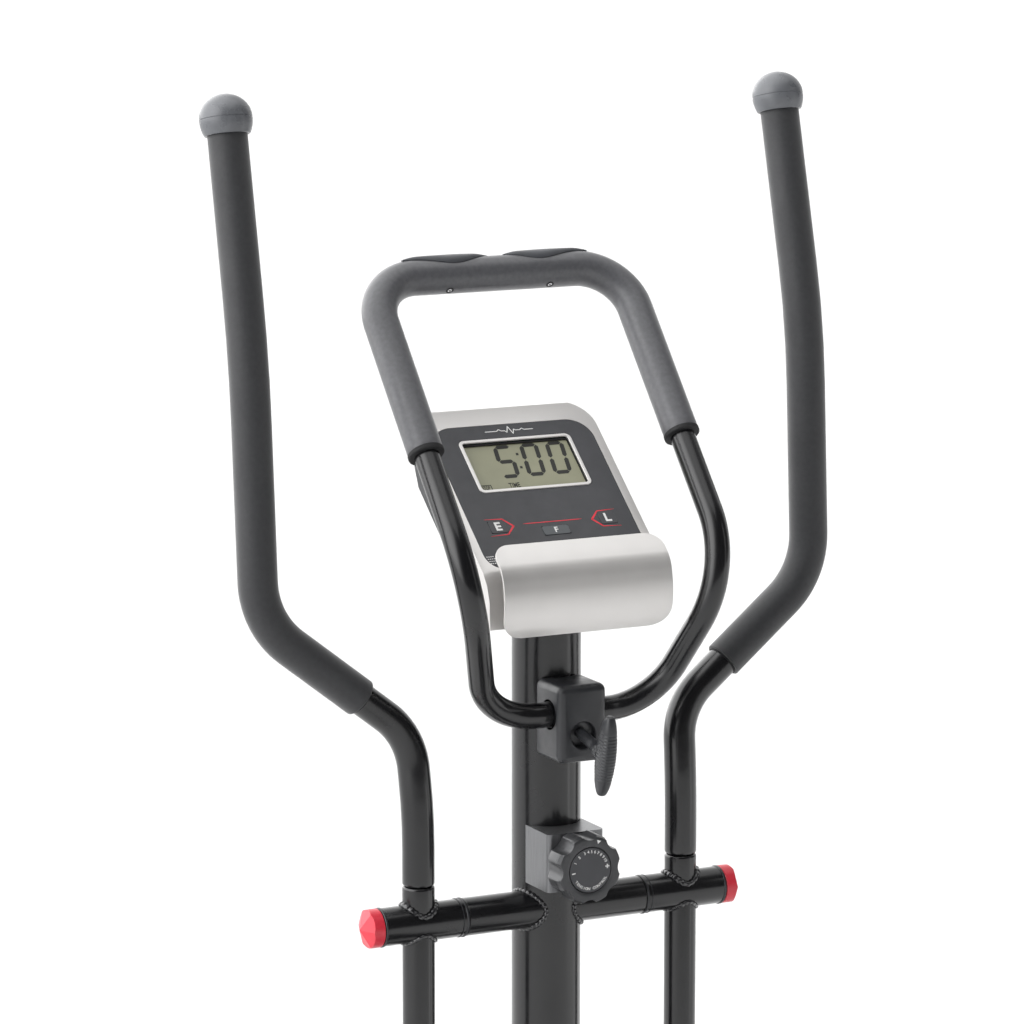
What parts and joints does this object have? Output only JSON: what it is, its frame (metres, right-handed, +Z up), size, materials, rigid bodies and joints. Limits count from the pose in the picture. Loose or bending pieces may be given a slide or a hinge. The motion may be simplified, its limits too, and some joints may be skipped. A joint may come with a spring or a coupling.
{
  "type": "elliptical trainer",
  "caption": "Home elliptical trainer with swing arms, foam grips, a pulse-sensor bar, a sloping console, a tension knob, foot plates on crank-driven tubes and an enclosed flywheel.",
  "frame": {"origin": "on the floor, under the middle of the outline", "axes": "+X to the user's right, +Y the way the user faces (towards the post), +Z up"},
  "size_m": [0.574, 1.15, 1.5334],
  "materials": {
    "black_gloss": "gloss black powder coat",
    "satin_black": "satin black moulded plastic",
    "grip_foam": "matt charcoal foam with a faint skin",
    "ball_grey": "mid-grey moulded plastic",
    "console_silver": "satin silver paint on plastic",
    "face_slate": "dark grey printed film",
    "lcd_screen": "grey-green liquid crystal window",
    "red_plastic": "red moulded plastic",
    "bright_steel": "zinc-plated steel",
    "cast_iron": "dark painted iron",
    "tyre_rubber": "black rubber",
    "board_green": "green circuit board"
  },
  "bodies": {
    "frame": {"main_beam": "black_gloss", "front_stabilizer": "black_gloss", "rear_stabilizer": "black_gloss", "front_foot_left": "satin_black", "front_foot_right": "satin_black", "rear_foot_left": "satin_black", "rear_foot_right": "satin_black", "drive_bracket": "cast_iron", "belt": "tyre_rubber", "housing_left": "satin_black", "housing_right": "satin_black", "upper_post": "black_gloss", "axle_tube": "black_gloss", "pivot_shaft": "bright_steel", "tension_housing": "satin_black", "dial_plate": "face_slate", "tension_cable": "tyre_rubber", "clamp_block": "satin_black", "console_front": "console_silver", "face_plate": "face_slate", "lcd_panel": "lcd_screen", "circuit_board": "board_green", "console_rear": "satin_black", "console_lip": "console_silver"},
    "crank": {"crank_axle": "bright_steel", "drive_pulley": "satin_black", "crank_arm_left": "bright_steel", "crank_arm_right": "bright_steel"},
    "flywheel": {"flywheel": "cast_iron"},
    "magnet_bracket": {"magnet_bracket": "bright_steel"},
    "left_arm": {"lower_arm_left": "black_gloss", "handlebar_left": "black_gloss", "grip_left": "grip_foam", "grip_cap_left": "ball_grey", "axle_cap_left": "red_plastic"},
    "right_arm": {"lower_arm_right": "black_gloss", "handlebar_right": "black_gloss", "grip_right": "grip_foam", "grip_cap_right": "ball_grey", "axle_cap_right": "red_plastic"},
    "left_pedal": {"pedal_tube_left": "black_gloss", "footplate_left": "satin_black", "crank_pin_left": "bright_steel"},
    "right_pedal": {"pedal_tube_right": "black_gloss", "footplate_right": "satin_black", "crank_pin_right": "bright_steel"},
    "sensor_bar": {"ubar_tube": "black_gloss", "ubar_foam": "grip_foam", "pulse_pad_left": "satin_black", "pulse_pad_right": "satin_black"},
    "bar_screw": {"tee_screw": "satin_black"},
    "tension_knob": {"tension_knob": "satin_black"},
    "key_e": {"button_e": "face_slate"},
    "key_f": {"button_f": "face_slate"},
    "key_l": {"button_l": "face_slate"},
    "left_wheel": {"wheel_left": "tyre_rubber"},
    "right_wheel": {"wheel_right": "tyre_rubber"}
  },
  "joints": [
    {"name": "crank_spin", "type": "hinge", "parent": "frame", "child": "crank", "pos_m": [0, -0.29, 0.3], "axis": [1, 0, 0], "continuous": true},
    {"name": "flywheel_spin", "type": "hinge", "parent": "frame", "child": "flywheel", "pos_m": [0, -0.07, 0.285], "axis": [1, 0, 0], "continuous": true},
    {"name": "left_arm_swing", "type": "hinge", "parent": "frame", "child": "left_arm", "pos_m": [-0.1275, 0.32, 0.825], "axis": [1, 0, 0], "range_deg": [-15.4, 15.4]},
    {"name": "right_arm_swing", "type": "hinge", "parent": "frame", "child": "right_arm", "pos_m": [0.1275, 0.32, 0.825], "axis": [1, 0, 0], "range_deg": [-15.4, 15.4]},
    {"name": "left_pedal_pivot", "type": "hinge", "parent": "left_arm", "child": "left_pedal", "pos_m": [-0.1275, 0.32, 0.3], "axis": [1, 0, 0], "range_deg": [-15.4, 15.4]},
    {"name": "right_pedal_pivot", "type": "hinge", "parent": "right_arm", "child": "right_pedal", "pos_m": [0.1275, 0.32, 0.3], "axis": [1, 0, 0], "range_deg": [-15.4, 15.4]},
    {"name": "sensor_bar_tilt", "type": "hinge", "parent": "frame", "child": "sensor_bar", "pos_m": [0, 0.28, 1.005], "axis": [1, 0, 0], "range_deg": [-12, 15]},
    {"name": "bar_screw_turn", "type": "hinge", "parent": "frame", "child": "bar_screw", "pos_m": [0, 0.219, 0.979], "axis": [0, -0.9744, -0.225], "range_deg": [-180, 180]},
    {"name": "tension_turn", "type": "hinge", "parent": "frame", "child": "tension_knob", "pos_m": [0, 0.26, 0.8735], "axis": [0, -1, 0], "range_deg": [-135, 135]},
    {"name": "magnet_swing", "type": "hinge", "parent": "frame", "child": "magnet_bracket", "pos_m": [-0.021, 0.056, 0.332], "axis": [1, 0, 0], "range_deg": [-1.25, 1.25]},
    {"name": "key_e_press", "type": "slide", "parent": "frame", "child": "key_e", "axis": [0, 0.6374, -0.7705], "range_m": [0, 0.0008], "stiffness_N_per_m": 600, "springref_m": -0.001},
    {"name": "key_f_press", "type": "slide", "parent": "frame", "child": "key_f", "axis": [0, 0.6374, -0.7705], "range_m": [0, 0.0008], "stiffness_N_per_m": 600, "springref_m": -0.001},
    {"name": "key_l_press", "type": "slide", "parent": "frame", "child": "key_l", "axis": [0, 0.6374, -0.7705], "range_m": [0, 0.0008], "stiffness_N_per_m": 600, "springref_m": -0.001},
    {"name": "left_wheel_spin", "type": "hinge", "parent": "frame", "child": "left_wheel", "pos_m": [-0.226, 0.545, 0.033], "axis": [1, 0, 0], "continuous": true},
    {"name": "right_wheel_spin", "type": "hinge", "parent": "frame", "child": "right_wheel", "pos_m": [0.226, 0.545, 0.033], "axis": [1, 0, 0], "continuous": true}
  ],
  "couplings": [
    {"joint": "flywheel_spin", "follows": "crank_spin", "ratio": 7},
    {"joint": "right_arm_swing", "follows": "left_arm_swing", "ratio": -1},
    {"joint": "left_pedal_pivot", "follows": "left_arm_swing", "ratio": -1},
    {"joint": "right_pedal_pivot", "follows": "left_arm_swing", "ratio": 1},
    {"joint": "magnet_swing", "follows": "tension_turn", "ratio": 0.009}
  ]
}
